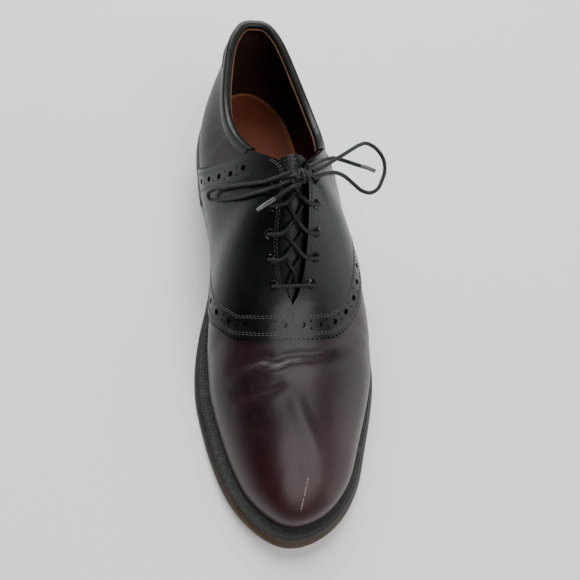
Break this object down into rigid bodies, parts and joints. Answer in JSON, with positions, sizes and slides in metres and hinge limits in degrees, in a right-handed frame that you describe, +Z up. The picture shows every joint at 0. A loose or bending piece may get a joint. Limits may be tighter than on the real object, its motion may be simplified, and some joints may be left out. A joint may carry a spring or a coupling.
{
  "type": "saddle shoe",
  "caption": "Left lace-up saddle shoe with a hollow leather upper, a dark saddle across the instep, welted leather sole, stacked heel, tongue and a bow of round laces.",
  "frame": {"origin": "on the floor, at the middle of the heel's face, 35 mm in front of the back of the heel", "axes": "+Z up from the floor, -Y towards the toe, +X towards the outer side of the left foot"},
  "size_m": [0.1193, 0.3087, 0.1118],
  "materials": {
    "sole_edge": "dyed dark sole edge, worn matt",
    "welt_leather": "black, stitched, matt",
    "heel_leather": "stacked lifts, dyed and waxed",
    "heel_rubber": "matt",
    "insole_leather": "brown, worn satin",
    "burgundy_leather": "dark burgundy, polished",
    "saddle_leather": "black, polished",
    "backstay_leather": "black, polished",
    "binding_leather": "black, satin",
    "tongue_leather": "black, satin",
    "eyelet_metal": "dark rolled rings",
    "lace_cord": "round waxed cord, satin",
    "aglet_film": "thin pale film"
  },
  "bodies": {
    "root": {"outsole": "sole_edge", "welt": "welt_leather", "heel_stack": "heel_leather", "top_lift": "heel_rubber", "insole": "insole_leather", "upper": "burgundy_leather", "saddle": "saddle_leather", "backstay": "backstay_leather", "collar_binding": "binding_leather", "tongue": "tongue_leather", "eyelet_inner_1": "eyelet_metal", "eyelet_inner_2": "eyelet_metal", "eyelet_inner_3": "eyelet_metal", "eyelet_inner_4": "eyelet_metal", "eyelet_inner_5": "eyelet_metal", "eyelet_outer_1": "eyelet_metal", "eyelet_outer_2": "eyelet_metal", "eyelet_outer_3": "eyelet_metal", "eyelet_outer_4": "eyelet_metal", "eyelet_outer_5": "eyelet_metal", "lace_bar": "lace_cord", "lace_cross_1": "lace_cord", "lace_cross_2": "lace_cord", "lace_cross_3": "lace_cord", "lace_cross_4": "lace_cord", "lace_knot": "lace_cord", "lace_loop_inner": "lace_cord", "lace_loop_outer": "lace_cord", "lace_end_inner": "lace_cord", "lace_end_outer": "lace_cord", "aglet_inner": "aglet_film", "aglet_outer": "aglet_film"}
  },
  "joints": []
}
